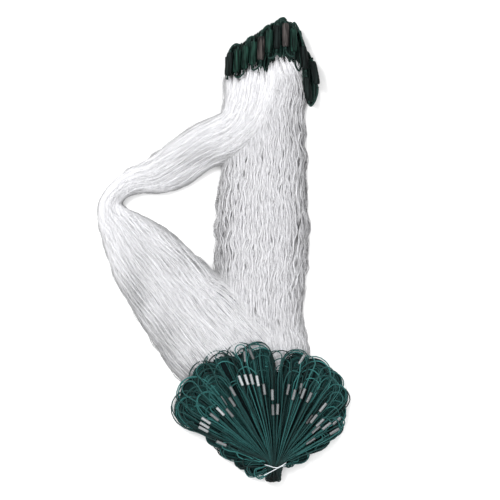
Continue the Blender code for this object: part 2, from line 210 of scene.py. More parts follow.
# Outline of the head's bundle: its upper edge and its lower one, by x.
HEAD_TOP = [
    (0.0035, 0.348), (0.01, 0.359), (0.016, 0.368), (0.023, 0.371), (0.033, 0.3735), (0.0425, 0.38),
    (0.0535, 0.3875), (0.0664, 0.3965), (0.0727, 0.401), (0.08, 0.405), (0.0904, 0.411), (0.099, 0.414),
    (0.102, 0.4195), (0.112, 0.4195), (0.116, 0.413), (0.1283, 0.4095), (0.134, 0.403), (0.139, 0.389),
    (0.144, 0.374), (0.15, 0.364), (0.156, 0.357), (0.159, 0.347), (0.1662, 0.3322), (0.1715, 0.3095),
]
HEAD_FOOT = [
    (0.0035, 0.306), (0.03, 0.306), (0.047, 0.318), (0.075, 0.312), (0.09, 0.335), (0.11, 0.34),
    (0.12, 0.332), (0.13, 0.322), (0.142, 0.308), (0.15, 0.27), (0.156, 0.2605), (0.164, 0.263),
    (0.169, 0.276), (0.1715, 0.297),
]

# Where the netting lies smooth and painted light makes it bright: x, y, half widths, strength.
STRAIGHT_GLOW = [
    (0.05, 0.245, 0.06, 0.05, 0.85),
    (0.075, 0.285, 0.06, 0.03, 0.7),
    (0.055, -0.16, 0.08, 0.04, 0.95),
    (0.066, 0.06, 0.042, 0.2, 0.62),
]
SIDE_GLOW = [
    (0.03, 0.25, 0.06, 0.06, 0.95),
    (-0.06, 0.18, 0.08, 0.04, 0.95),
    (-0.16, 0.125, 0.06, 0.04, 0.95),
    (-0.19, 0.05, 0.03, 0.06, 0.95),
    (-0.15, -0.02, 0.04, 0.06, 0.8),
    (-0.06, -0.11, 0.045, 0.06, 0.7),
    (0.02, -0.14, 0.07, 0.06, 0.95),
]
# Where it hangs open, in deep streaks, with painted shade on them.
STRAIGHT_DIM = [
    (0.012, 0.29, 0.014, 0.03, 0.8),
    (-0.008, 0.0, 0.016, 0.14, 0.7),
    (0.145, 0.06, 0.018, 0.22, 0.6),
    (0.13, 0.22, 0.02, 0.05, 0.5),
]
SIDE_DIM = [
    (-0.158, -0.085, 0.024, 0.06, 0.9),
    (-0.11, -0.175, 0.034, 0.06, 1.0),
    (-0.06, -0.225, 0.06, 0.034, 1.0),
    (-0.03, 0.165, 0.06, 0.016, 0.5),
    (-0.06, -0.02, 0.05, 0.014, 0.4),
]

# The tie string from its loose end, over the neck, once round it, over again and to its short end.
STRING_ROUTE = [
    (0.0735, -0.4042, 0.027),
    (0.079, -0.401, 0.03),
    (0.086, -0.3972, 0.0317),
    (0.0925, -0.3935, 0.0327),
    (0.0985, -0.3903, 0.033),
    (0.1045, -0.3874, 0.0325),
    (0.1096, -0.3872, 0.027),
    (0.1122, -0.3882, 0.016),
    (0.1106, -0.3886, 0.005),
    (0.103, -0.3888, 0.0012),
    (0.0936, -0.3888, 0.001),
    (0.084, -0.3886, 0.0012),
    (0.0766, -0.388, 0.005),
    (0.075, -0.3866, 0.016),
    (0.0778, -0.3858, 0.0272),
    (0.0835, -0.3868, 0.0322),
    (0.0905, -0.3888, 0.0342),
    (0.0975, -0.3894, 0.035),
    (0.104, -0.3868, 0.034),
    (0.1092, -0.3838, 0.0322),
    (0.113, -0.3816, 0.029),
]


# ---------------------------------------------------------------- camera, light and floor
def make_camera():
    data = bpy.data.cameras.new("camera")
    camera = bpy.data.objects.new("camera", data)
    bpy.context.scene.collection.objects.link(camera)
    height, frame_side, mid_level = 3.2, 0.900, 0.015
    data.lens = data.sensor_width * (height - mid_level) / frame_side
    camera.location = (0.0486, 0.0, height)
    bpy.context.scene.camera = camera


def area_light(name, place, target, size, power):
    data = bpy.data.lights.new(name, "AREA")
    data.shape = "DISK"
    data.size = size
    data.energy = power
    light = bpy.data.objects.new(name, data)
    bpy.context.scene.collection.objects.link(light)
    light.location = place
    aim = np.subtract(target, place)
    yaw = math.atan2(aim[0], -aim[1])
    pitch = math.acos(-aim[2] / np.linalg.norm(aim))
    light.rotation_euler = (pitch, 0.0, yaw + math.pi)


def make_studio():
    bpy.context.scene.view_settings.view_transform = "Standard"  # colours as they are measured
    world = bpy.data.worlds.new("studio")
    world.use_nodes = True
    background = world.node_tree.nodes["Background"]
    background.inputs["Color"].default_value = (1.0, 1.0, 1.0, 1.0)
    background.inputs["Strength"].default_value = 1.1
    bpy.context.scene.world = world
    area_light("key", (-0.9, 1.1, 1.9), (0.0, 0.0, 0.0), 0.6, 30.0)
    area_light("fill", (1.4, -0.6, 1.8), (0.0, 0.0, 0.0), 1.4, 8.0)

    bpy.ops.mesh.primitive_plane_add(size=12.0, location=(0.0, 0.0, -0.0004))
    floor = bpy.context.active_object
    floor.name = "floor"
    material, shader, tree = new_material("floor_paint", 0.8, 0.1)
    noise = add_node(tree, "ShaderNodeTexNoise", {"Scale": 6.0, "Detail": 4.0})
    colour = mottled(tree, noise.outputs["Fac"], (0.90, 0.90, 0.90), (0.93, 0.93, 0.93))
    tree.links.new(colour, shader.inputs["Base Color"])
    floor.data.materials.append(material)


# ---------------------------------------------------------------- materials
def new_material(name, roughness=0.5, specular=0.5):
    material = bpy.data.materials.new(name)
    material.use_nodes = True
    tree = material.node_tree
    shader = tree.nodes["Principled BSDF"]
    shader.inputs["Roughness"].default_value = roughness
    shader.inputs["Specular IOR Level"].default_value = specular
    return material, shader, tree


def add_node(tree, kind, values=None, **settings):
    node = tree.nodes.new(kind)
    for key, value in settings.items():
        setattr(node, key, value)
    for key, value in (values or {}).items():
        node.inputs[key].default_value = value
    return node


def mottled(tree, factor, dark, light, low=0.3, high=0.7):
    """Runs a factor through a two-colour ramp."""
    ramp = add_node(tree, "ShaderNodeValToRGB")
    ramp.color_ramp.elements[0].position = low
    ramp.color_ramp.elements[0].color = (*dark, 1.0)
    ramp.color_ramp.elements[1].position = high
    ramp.color_ramp.elements[1].color = (*light, 1.0)
    tree.links.new(factor, ramp.inputs["Fac"])
    return ramp.outputs["Color"]


def maths(tree, operation, first, second=None):
    """A math node's result; second is another node's output, or a number."""
    node = add_node(tree, "ShaderNodeMath", operation=operation)
    tree.links.new(first, node.inputs[0])
    if isinstance(second, float):
        node.inputs[1].default_value = second
    elif second is not None:
        tree.links.new(second, node.inputs[1])
    return node.outputs["Value"]


def raise_bumps(tree, shader, height, strength, distance):
    bump = add_node(tree, "ShaderNodeBump", {"Strength": strength, "Distance": distance})
    tree.links.new(height, bump.inputs["Height"])
    tree.links.new(bump.outputs["Normal"], shader.inputs["Normal"])


def rope_coordinates(tree):
    """Place round a rope and place along it, from its UVs."""
    place = add_node(tree, "ShaderNodeUVMap", uv_map="rope")
    split = add_node(tree, "ShaderNodeSeparateXYZ")
    tree.links.new(place.outputs["UV"], split.inputs["Vector"])
    return split.outputs["X"], split.outputs["Y"]


def shade_by_attribute(tree, colour_output, socket):
    """Multiplies a colour by the mesh's shade value, which carries painted light and shade as well as
    random tone.
    """
    shade = add_node(tree, "ShaderNodeAttribute", attribute_name="shade")
    mix = add_node(tree, "ShaderNodeMix", data_type="RGBA", blend_type="MULTIPLY")
    mix.inputs["Factor"].default_value = 1.0
    tree.links.new(colour_output, mix.inputs[6])
    tree.links.new(shade.outputs["Fac"], mix.inputs[7])
    tree.links.new(mix.outputs[2], socket)


def filament_material(name, dark, light):
    """Nylon monofilament: a cool white that varies from place to place."""
    material, shader, tree = new_material(name, 0.38, 0.55)
    shader.inputs["Sheen Weight"].default_value = 0.15
    noise = add_node(tree, "ShaderNodeTexNoise", {"Scale": 90.0, "Detail": 3.0})
    colour = mottled(tree, noise.outputs["Fac"], dark, light, 0.30, 0.65)
    shade_by_attribute(tree, colour, shader.inputs["Base Color"])
    return material


def rope_material(name, dark, light, pitch, roughness=0.55):
    """Laid rope: strands wind round it, with painted shade in the grooves.

    A painted highlight and a dull shine lie on the crowns.
    """
    material, shader, tree = new_material(name, roughness, 0.18)
    around, along = rope_coordinates(tree)
    wound = maths(tree, "MULTIPLY", along, 1.0 / pitch)
    turn = maths(tree, "ADD", wound, maths(tree, "MULTIPLY", around, 3.0))
    strand = maths(tree, "MULTIPLY", maths(tree, "PINGPONG", turn, 0.5), 2.0)
    noise = add_node(tree, "ShaderNodeTexNoise", {"Scale": 350.0, "Detail": 3.0})
    height = maths(tree, "ADD", strand, maths(tree, "MULTIPLY", noise.outputs["Fac"], 0.55))
    # Painted shade and highlight: the colour runs from dark in the grooves to pale on the crowns.
    shade_by_attribute(tree, mottled(tree, height, dark, light, 0.15, 1.0), shader.inputs["Base Color"])
    raise_bumps(tree, shader, height, 0.6, 0.0004)
    return material


def packed_material(name, dark, light):
    """Strands packed side by side, one for each whole number of u: some paler than others.

    Painted shade darkens each strand towards its sides, darkest between them.
    """
    material, shader, tree = new_material(name, 0.75, 0.08)
    wander = add_node(tree, "ShaderNodeTexNoise", {"Scale": 60.0, "Detail": 2.0})
    sway = maths(tree, "MULTIPLY", wander.outputs["Fac"], 1.6)
    across = maths(tree, "ADD", rope_coordinates(tree)[0], sway)
    tone = add_node(tree, "ShaderNodeTexWhiteNoise", noise_dimensions="1D")
    tree.links.new(maths(tree, "FLOOR", across), tone.inputs["W"])
    crown = maths(tree, "PINGPONG", across, 0.5)
    # Painted shade: each strand's colour darkens from its crown to its sides.
    colour = mottled(tree, maths(tree, "MULTIPLY", crown, tone.outputs["Value"]), dark, light, 0.03, 0.40)
    shade_by_attribute(tree, colour, shader.inputs["Base Color"])
    raise_bumps(tree, shader, crown, 0.7, 0.0012)
    return material


def foam_material(name, dark, light):
    """Closed-cell foam: dark, dull and finely pitted, with paler lengthways streaks as painted highlights.
    """
    material, shader, tree = new_material(name, 0.65, 0.08)
    place = add_node(tree, "ShaderNodeTexCoord")
    stretch = add_node(tree, "ShaderNodeMapping", {"Scale": (330.0, 22.0, 330.0)})
    tree.links.new(place.outputs["Object"], stretch.inputs["Vector"])
    noise = add_node(tree, "ShaderNodeTexNoise", {"Scale": 1.0, "Detail": 5.0, "Roughness": 0.6})
    tree.links.new(stretch.outputs["Vector"], noise.inputs["Vector"])
    # Painted highlights: the stretched noise gives paler streaks along the float.
    colour = mottled(tree, noise.outputs["Fac"], dark, light, 0.42, 0.64)
    tree.links.new(colour, shader.inputs["Base Color"])
    pits = add_node(tree, "ShaderNodeTexVoronoi", {"Scale": 900.0})
    raise_bumps(tree, shader, pits.outputs["Distance"], 0.35, 0.0003)
    return material


def lead_material():
    """Cast lead: dull grey, bright where it is worn and dark in its dents; the shade value paints shade at
    its ends.
    """
    material, shader, tree = new_material("lead_metal")
    shader.inputs["Metallic"].default_value = 0.75
    noise = add_node(tree, "ShaderNodeTexNoise", {"Scale": 260.0, "Detail": 5.0, "Roughness": 0.6})
    colour = mottled(tree, noise.outputs["Fac"], (0.10, 0.11, 0.12), (0.80, 0.84, 0.86), 0.32, 0.60)
    shade_by_attribute(tree, colour, shader.inputs["Base Color"])
    dull = add_node(tree, "ShaderNodeMapRange", {"To Min": 0.5, "To Max": 0.3})
    tree.links.new(noise.outputs["Fac"], dull.inputs["Value"])
    tree.links.new(dull.outputs["Result"], shader.inputs["Roughness"])
    raise_bumps(tree, shader, noise.outputs["Fac"], 0.4, 0.0003)
    return material


# ---------------------------------------------------------------- meshes made of many tubes
def quad_mesh(name, points, quads, material, shade=None, uvs=None, ends=()):
    """A smooth mesh of quads, and of n-gons in ends, with a shade value for each point."""
    data = bpy.data.meshes.new(name)
    corners = np.asarray(quads, np.int32).reshape(-1)
    starts = np.arange(len(quads), dtype=np.int32) * 4
    if len(ends):
        size = ends.shape[1]
        starts = np.concatenate([starts, len(corners) + np.arange(len(ends), dtype=np.int32) * size])
        corners = np.concatenate([corners, ends.reshape(-1).astype(np.int32)])
    data.vertices.add(len(points))
    data.vertices.foreach_set("co", np.asarray(points, np.float32).reshape(-1))
    data.loops.add(len(corners))
    data.loops.foreach_set("vertex_index", corners)
    data.polygons.add(len(starts))
    data.polygons.foreach_set("loop_start", starts)
    if shade is not None:
        values = data.attributes.new("shade", "FLOAT", "POINT").data
        values.foreach_set("value", np.asarray(shade, np.float32))
    if uvs is not None:
        layer = data.uv_layers.new(name="rope")
        layer.data.foreach_set("uv", np.asarray(uvs, np.float32)[corners].reshape(-1))
    data.update(calc_edges=True)
    data.validate()
    data.shade_smooth()
    data.materials.append(material)
    item = bpy.data.objects.new(name, data)
    bpy.context.scene.collection.objects.link(item)
    return item


def tube_rings(paths, radii, sides):
    """Rings of points round many equally long paths: paths (count, points, 3), radii broadcast."""
    ways = np.gradient(paths, axis=1)
    ways /= np.linalg.norm(ways, axis=2, keepdims=True) + 1e-12
    side = np.cross(ways, (0.0, 0.0, 1.0))
    side /= np.linalg.norm(side, axis=2, keepdims=True) + 1e-9
    over = np.cross(side, ways)
    turn = np.arange(sides) * 2 * math.pi / sides
    ring = side[:, :, None] * np.cos(turn)[:, None] + over[:, :, None] * np.sin(turn)[:, None]
    return paths[:, :, None] + ring * np.broadcast_to(radii, paths.shape[:2])[:, :, None, None]


def tube_quads(count, length, sides):
    base = np.arange(count)[:, None, None] * length * sides
    ring = np.arange(length - 1)[None, :, None] * sides
    here = np.arange(sides)[None, None, :]
    after = (here + 1) % sides
    near, far = base + ring, base + ring + sides
    return np.stack([near + here, near + after, far + after, far + here], -1).reshape(-1, 4)


def tube_ends(count, length, sides):
    first = np.arange(count)[:, None] * length * sides + np.arange(sides)[::-1]
    last = np.arange(count)[:, None] * length * sides + (length - 1) * sides + np.arange(sides)
    return np.concatenate([first, last])


def strand_mesh(name, paths, radii, shades, material, sides=3):
    """Many filaments as one mesh of closed thin tubes."""
    count, length = paths.shape[:2]
    rings = tube_rings(paths, radii, sides)
    shade = np.repeat(np.broadcast_to(shades, (count, length)).reshape(-1), sides)
    quads, ends = tube_quads(count, length, sides), tube_ends(count, length, sides)
    return quad_mesh(name, rings.reshape(-1, 3), quads, material, shade, ends=ends)


def rope_mesh(name, path, diameter, material, sides=8, shades=None):
    """One rope as a closed tube, with u round it and v along it in metres."""
    path = np.asarray(path)
    count = len(path)
    rings = tube_rings(path[None], diameter / 2, sides)[0]
    steps = np.linalg.norm(np.diff(path, axis=0), axis=1)
    along = np.concatenate([[0.0], np.cumsum(steps)])
    around = np.abs((np.arange(sides) / sides + 0.5) % 1.0 - 0.5) * 2.0
    uvs = np.stack(np.broadcast_arrays(around[None, :], along[:, None]), -1).reshape(-1, 2)
    shade = np.repeat(np.ones(count) if shades is None else shades, sides)
    quads = tube_quads(1, count, sides)
    return quad_mesh(name, rings.reshape(-1, 3), quads, material, shade, uvs, tube_ends(1, count, sides))


def bored_rings(centre, way, along, radius, flip=False):
    """Rings round an axis, the last joined to the first through the bore: points and quads."""
    count, sides = radius.shape
    aside = np.array([way[1], -way[0], 0.0]) * (1 if flip else -1)
    turn = np.arange(sides) * 2 * math.pi / sides
    round_it = np.cos(turn)[None, :, None] * aside + np.sin(turn)[None, :, None] * UP
    points = np.array(centre) + along[:, None, None] * way + radius[:, :, None] * round_it
    first, last = np.arange(sides), (count - 1) * sides + np.arange(sides)
    closing = np.stack([last, np.roll(last, -1), np.roll(first, -1), first], -1)
    return points.reshape(-1, 3), np.concatenate([tube_quads(1, count, sides), closing])


def slab_side(grid, drop, outward):
    """Quads of the side wall between a grid of points and the same grid drop places later."""
    rim = np.concatenate([grid[:, 0], grid[-1, 1:], grid[-2::-1, -1], grid[0, -2:0:-1]])
    after = np.roll(rim, -1)
    wall = [rim, after, after + drop, rim + drop] if outward else [rim, rim + drop, after + drop, after]
    return np.stack(wall, -1)


def smooth_curve(points, spacing, least, most):
    """A smooth curve through points, by Hermite pieces fitted to uneven gaps."""
    points = np.asarray(points, float)
    gaps = np.linalg.norm(np.diff(points, axis=0), axis=1)
    knots = np.concatenate([[0.0], np.cumsum(np.maximum(gaps, 1e-6))])
    slopes = np.empty_like(points)
    straight = np.diff(points, axis=0) / np.diff(knots)[:, None]
    before, after = np.diff(knots)[:-1, None], np.diff(knots)[1:, None]
    slopes[1:-1] = (straight[:-1] * after + straight[1:] * before) / (before + after)
    slopes[0], slopes[-1] = straight[0], straight[-1]
    out = [points[:1]]
    for i, gap in enumerate(gaps):
        count = int(np.clip(math.ceil(gap / spacing), least, most))
        t = (np.arange(1, count + 1) / count)[:, None]
        span = knots[i + 1] - knots[i]
        piece = (
            (2 * t**3 - 3 * t**2 + 1) * points[i]
            + (t**3 - 2 * t**2 + t) * span * slopes[i]
            + (3 * t**2 - 2 * t**3) * points[i + 1]
            + (t**3 - t**2) * span * slopes[i + 1]
        )
        out.append(piece)
    return np.concatenate(out)


def along_curve(values, points, spacing, least, most):
    """Values given at a smooth curve's points, read at each point that smooth_curve makes."""
    gaps = np.linalg.norm(np.diff(np.asarray(points, float), axis=0), axis=1)
    counts = np.clip(np.ceil(gaps / spacing), least, most).astype(int)
    places = [[0.0]] + [i + np.arange(1, count + 1) / count for i, count in enumerate(counts)]
    return np.interp(np.concatenate(places), np.arange(len(values)), values)


def on_net(piece):
    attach(piece, "net")


# ---------------------------------------------------------------- netting
class Bundle:
    """A fall of netting, read from stations: a place is (share along, -1..1 across, 0..1 up)."""

    def __init__(self, stations, rim, roundness):
        self.rim, self.roundness = rim, roundness
        edges = np.array([[*one, *other, low, far, thick] for one, other, low, far, thick in stations])
        middles = (edges[:, 0:2] + edges[:, 2:4]) / 2
        steps = np.linalg.norm(np.diff(middles, axis=0), axis=1)
        self.knots = np.concatenate([[0.0], np.cumsum(steps)])
        self.length = self.knots[-1]
        self.table = smooth_curve(edges, 1.0, 12, 12)
        shares = np.linspace(0, len(edges) - 1, len(self.table))
        self.places = np.interp(shares, np.arange(len(edges)), self.knots)

    def at(self, distance, across, up):
        """Points at distances along the fall; the section is a low arch on a flat base."""
        columns = [np.interp(distance, self.places, self.table[:, k]) for k in range(7)]
        one_x, one_y, other_x, other_y, low, far, thick = columns
        share = (across + 1) / 2
        x = one_x + (other_x - one_x) * share
        y = one_y + (other_y - one_y) * share
        arch = self.rim + (1 - self.rim) * np.clip(1 - across**2, 0, 1) ** self.roundness
        z = low + (far - low) * share + thick * arch * up
        return np.stack([x, y, z], -1)

    def half_width(self, distance):
        columns = [np.interp(distance, self.places, self.table[:, k]) for k in range(4)]
        return np.hypot(columns[2] - columns[0], columns[3] - columns[1]) / 2


def waves(rng, across, along, count):
    """Random crossing waves: their rates in radians a metre across and along, and phases."""
    sizes = np.array([rng.uniform(*across, count), rng.uniform(*along, count) * rng.choice([-1, 1], count)])
    return 2 * math.pi / sizes, rng.uniform(0, 2 * math.pi, count)


def ripple(field, across, along):
    """The waves' height and their slope across, each with a spread of about 0.7."""
    (rates_across, rates_along), phases = field
    height, slope = 0.0, 0.0
    for rate, pace, phase in zip(rates_across, rates_along, phases):
        turn = across * rate + along * pace + phase
        height, slope = height + np.sin(turn), slope + np.cos(turn)
    return height / math.sqrt(len(phases)), slope / math.sqrt(len(phases))


def ease(value, low, high):
    share = np.clip((value - low) / (high - low), 0, 1)
    return share * share * (3 - 2 * share)


def glow_at(points, patches):
    """The strongest of some soft oval patches at each point."""
    total = np.zeros(points.shape[:-1])
    for x, y, wide, tall, strength in patches:
        away = -(((points[..., 0] - x) / wide) ** 2) - ((points[..., 1] - y) / tall) ** 2
        total = np.maximum(total, strength * np.exp(away))
    return total


def height_on(bundle, points):
    """How high the top of a fall that is laid down the y axis stands under points."""
    table, places = bundle.table, bundle.places
    distance = np.interp(-points[..., 1], -table[:, 1], places)
    left, right = np.interp(distance, places, table[:, 0]), np.interp(distance, places, table[:, 2])
    across = (points[..., 0] - left) / (right - left) * 2 - 1
    top = bundle.at(distance, np.clip(across, -1, 1), 1.0)[..., 2]
    return np.where(np.abs(across) < 1, top, 0.0)


def tufts(bundle, homes, number, rng):
    """Where filaments begin, in tufts up to the tip line, and how far each is from its tuft's middle."""
    first = bundle.at(np.zeros(len(homes)), homes, 0.5)
    line = np.array(TIP_LINE)
    tuft = np.round(first[:, 0] / TUFT_PITCH + number * 0.3) - number * 0.3
    peak = np.interp(tuft * TUFT_PITCH, line[:, 0], line[:, 1])
    peak = peak + TUFT_RISE * np.sin(tuft * 2.4 + number * 2)
    outside = np.abs(first[:, 0] / TUFT_PITCH - tuft)
    starts = first[:, 1] - peak + TUFT_DROP * outside**1.5 + np.abs(rng.normal(0, TUFT_FRAY, len(homes)))
    pull = np.sign(bundle.table[0, 2] - bundle.table[0, 0]) * (tuft * TUFT_PITCH - first[:, 0])[:, None]
    return np.maximum(starts, 0.0)[:, None], pull


def netting_filaments(
    name, bundle, rng, layers, each, step, material, habit, glow, dim, under=None, feather=()
):
    """Filaments along a fall, bunched together and parted again by random waves, a layer at a time.

    A layer is its level in the fall, how wide it spreads and its tone, darker for lower layers as painted
    shade. feather gives stretches along the fall where the edge at -1 spreads out over the fall under it.
    """
    bunch = waves(rng, habit["bunch_across"], habit["bunch_along"], 16)
    slack = waves(rng, habit["slack_across"], habit["slack_along"], 6)
    streaks = waves(rng, habit["streak_across"], habit["streak_along"], 20)
    gaps = waves(rng, (0.009, 0.020), (0.035, 0.080), 14)
    made = []
    for number, (level, spread, tone) in enumerate(layers, 1):
        homes = np.linspace(-spread, spread, each) + rng.normal(0, 1.2 * spread / each, each)
        starts, pull = tufts(bundle, homes, number, rng)
        homes = homes[:, None]
        count = int(bundle.length / step)
        along = starts + (bundle.length - starts) * np.linspace(0, 1, count)[None, :]
        half = bundle.half_width(along)
        place = homes * half
        inside = bundle.at(along, homes, 0.5)
        bright, open_here = glow_at(inside, glow), glow_at(inside, dim)
        rough = 0.42 + 0.58 * ease(np.abs(homes), 0.55, 0.88) + 1.5 * open_here
        shift, slope = ripple(bunch, place + number * 0.013, along + number * 0.021)
        sway, _ = ripple(slack, place, along)
        streak, _ = ripple(streaks, place + number * 0.031, along)
        gap, gap_slope = ripple(gaps, place, along)
        gap_here = gap + 0.35 * ease(np.abs(homes), 0.6, 0.9)
        parted = ease(gap_here, habit["gap_from"], habit["gap_from"] + 0.5)
        parted = np.clip(parted + 0.25 * open_here * ease(gap, 0.4, 1.0), 0, 1) * (1 - bright)
        sizes = rng.uniform(0.7, 1.4, (each, 1)) * habit["fine_along"]
        phases = rng.uniform(0, 6.28, (each, 1))
        own = np.sin(2 * math.pi * along / sizes + phases) * rng.uniform(0.3, 1, (each, 1))
        offset = habit["bunch"] * rough * shift + habit["slack"] * sway + habit["fine"] * own
        offset = offset - GAP_PUSH * parted * gap_slope
        strays = (rng.uniform(0, 1, (each, 1)) < 0.12) & (np.abs(homes) > 0.90 * spread)
        periods = rng.uniform(0.05, 0.13, (each, 1))
        bulge = np.maximum(0, np.sin(2 * math.pi * along / periods + 6 * homes * 50)) ** 2
        offset = offset + strays * bulge * np.sign(homes) * STRAY_REACH
        fringe = np.abs(rng.normal(0, FRINGE_REACH, (each, 1))) * np.clip((-homes - 0.45) / 0.5, 0, 1)
        spread_out = np.zeros_like(along)
        for begin, end in feather:
            spread_out = spread_out + ease(along, begin, begin + 0.05) * (1 - ease(along, end - 0.05, end))
        offset = offset - fringe * spread_out
        gather = np.exp(-(((along - starts) / TUFT_LENGTH) ** 2))
        offset = offset * (1 - gather) + pull * gather * 0.8
        across = np.clip(homes + offset / half, -1.6 if feather else -1.06, 1.06)
        up = level - habit["lift"] * rough * slope * (1 - 0.7 * bright) + 0.03 * own
        up = up + rng.normal(0, 0.03, (each, 1)) - 0.16 * parted
        points = bundle.at(along, across, np.clip(up, 0.03, 1.10))
        if under is not None:
            sink = RIM_SINK * spread_out * ease(-across, 0.55, 1.00)
            cover = height_on(under, points) * (1 - gather) + 0.0004 + 0.0012 * level - sink
            points[..., 2] = np.maximum(points[..., 2], cover)
        points[..., 2] = np.maximum(points[..., 2], 1.3 * FILAMENT)
        # Painted light and shade in the shade value: paler in the light patches; darker on the bunches'
        # slopes, in parted gaps and open patches, at the edges and where the side fall spreads over the
        # straight one.
        shade = tone + (1 - tone) * 0.7 * bright
        shade = shade * (1.0 - habit["painted_slope_shade"] * rough * (slope + 0.3) * (1 - 0.8 * bright))
        shade = shade * (1.0 + habit["streak"] * rough * streak * (1 - 0.5 * bright))
        shade = shade * rng.uniform(0.86, 1.0, (each, 1))
        shade = shade * (1 - 0.66 * parted) * (1 - 0.26 * open_here)
        rim = 0.3 * ease(np.abs(across), habit["edge_from"] - 0.25, habit["edge_from"])
        rim = (rim + 0.7 * ease(np.abs(across), habit["edge_from"], 1.0)) * (1 - spread_out * (across < 0))
        shade = shade * (1 - 0.10 * spread_out * ease(-across, 0.5, 0.9))
        shade = shade * (1 - habit["edge"] * rim * (1 - habit["edge_glow"] * bright))
        radii = FILAMENT * rng.uniform(0.8, 1.2, (each, 1)) * np.ones_like(along)
        radii[:, 0] *= 0.4
        made.append(strand_mesh(f"{name}_{number}", points, radii, shade, material))
    return made


def netting_core(name, bundle, material, rng, share, first, last):
    """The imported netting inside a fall, ridged along its length, so that no light comes through."""
    rings, around = int((last - first) / 0.004), 72
    distance = np.linspace(first, last, rings)[:, None]
    turn = np.linspace(0, math.pi, around)[None, :]
    across = -np.cos(turn) * 0.93
    ridges = np.zeros((rings, around))
    for _ in range(9):
        pitch = rng.uniform(18, 70)
        drift = rng.uniform(8, 22)
        wander = np.sin(distance * drift + rng.uniform(0, 6)) * 1.8
        ridges += 0.6 * np.sin(across * pitch + wander + rng.uniform(0, 6))
    up = share * (1 + 0.05 * ridges) * np.ones_like(distance)
    upper = bundle.at(distance + 0 * across, across + 0 * distance, up)
    lower = bundle.at(distance + 0 * across, across[:, ::-1] + 0 * distance, 0.02 + 0 * up)
    points = np.concatenate([upper, lower[:, 1:-1]], axis=1)
    size = points.shape[1]
    quads = tube_quads(1, rings, size)
    ends = np.stack([np.arange(size)[::-1], (rings - 1) * size + np.arange(size)])
    shade = np.full(rings * size, 0.9)
    return quad_mesh(name, points.reshape(-1, 3), quads[:, ::-1], material, shade, ends=ends[:, ::-1])


def make_netting():
    rng = np.random.default_rng(7)
    bright = filament_material("monofilament", (0.88, 0.88, 0.92), (0.99, 0.99, 1.0))
    # Painted shade: the cores are the same white nylon, coloured grey for lying deep under the filaments.
    packed = filament_material("monofilament_core_painted_shade", (0.22, 0.22, 0.25), (0.42, 0.42, 0.46))

    straight = Bundle(STRAIGHT_FALL, 0.22, 0.4)
    core = netting_core("straight_fall_core", straight, packed, rng, 0.60, 0.05, straight.length)
    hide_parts("netting_straight_fall")
    habit = {
        "bunch": 0.0014, "bunch_across": (0.004, 0.011), "bunch_along": (0.030, 0.090),
        "slack": 0.0015, "slack_across": (0.030, 0.080), "slack_along": (0.038, 0.064),
        "streak": 0.13, "streak_across": (0.0035, 0.0140), "streak_along": (0.025, 0.110),
        "fine": 0.0006, "fine_along": 0.017, "gap_from": 1.10,
        "lift": 0.045, "painted_slope_shade": 0.06, "edge": 0.30, "edge_from": 0.74, "edge_glow": 0.6,
    }
    # Layers: level, spread and tone; the lower layers' darker tones are painted shade.
    layers = [
        (0.42, 1.0, 0.62), (0.58, 0.99, 0.78), (0.74, 0.98, 0.90), (0.88, 0.96, 0.97), (1.0, 0.93, 1.0),
    ]
    made = [core] + netting_filaments(
        "straight_fall_netting", straight, rng, layers, 240, 0.0048, bright, habit, STRAIGHT_GLOW,
        STRAIGHT_DIM,
    )

    side = Bundle(SIDE_FALL, 0.16, 0.62)
    elbow = side.knots[ELBOW_STATION]
    upper = netting_core("side_fall_upper_core", side, packed, rng, 0.66, 0.07, elbow)
    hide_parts("netting_side_fall_upper")
    lower = netting_core("side_fall_lower_core", side, packed, rng, 0.66, elbow, side.length)
    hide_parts("netting_side_fall_lower")
    habit = {
        "bunch": 0.0011, "bunch_across": (0.005, 0.014), "bunch_along": (0.10, 0.30),
        "slack": 0.0012, "slack_across": (0.040, 0.090), "slack_along": (0.07, 0.14),
        "streak": 0.12, "streak_across": (0.0020, 0.0080), "streak_along": (0.06, 0.20),
        "fine": 0.0004, "fine_along": 0.035, "gap_from": 1.75,
        "lift": 0.030, "painted_slope_shade": 0.06, "edge": 0.50, "edge_from": 0.88, "edge_glow": 0.0,
    }
    # Layers: level, spread and tone; the lower layers' darker tones are painted shade.
    layers = [
        (0.44, 1.0, 0.80), (0.60, 0.99, 0.88), (0.76, 0.98, 0.95), (0.89, 0.96, 0.98), (1.0, 0.94, 1.0),
    ]
    feather = ((0.03, side.knots[6] - 0.01), (side.knots[16] - 0.01, side.knots[20] + 0.05))
    made += [upper, lower] + netting_filaments(
        "side_fall_netting", side, rng, layers, 250, 0.0085, bright, habit, SIDE_GLOW, SIDE_DIM,
        straight, feather,
    )
    for piece in made:
        on_net(piece)


# ---------------------------------------------------------------- the lead line's fan
def fan_reach(angle):
    """How far the outermost lobe reaches from the tie in a direction."""
    reach = 0.0
    for degrees, lobe_reach, half_width, _ in LOBES:
        turn = angle - math.radians(degrees)
        centre = lobe_reach - half_width
        side = centre * math.sin(turn)
        if abs(turn) < math.pi / 2 and abs(side) < half_width:
            reach = max(reach, centre * math.cos(turn) + math.sqrt(half_width**2 - side**2))
    return reach


def fan_inner(angle):
    """Where the fan begins in a direction: at the neck's side or its end."""
    beside = (NECK_HALF_WIDTH + 0.0005) / max(abs(math.cos(angle)), 0.01)
    beyond = NECK_END / max(math.sin(angle), 0.01)
    return min(beside, beyond) + 0.004


def fan_base(angle):
    """The floor under the fan: the foot of the netting, or the surface beside it."""
    degrees = math.degrees(angle)
    inside = min(degrees - FOOT_FIRST, FOOT_LAST - degrees)
    return (FOOT_HEIGHT + 0.0003) * min(1.0, max(0.0, 0.5 + inside / 6.0))


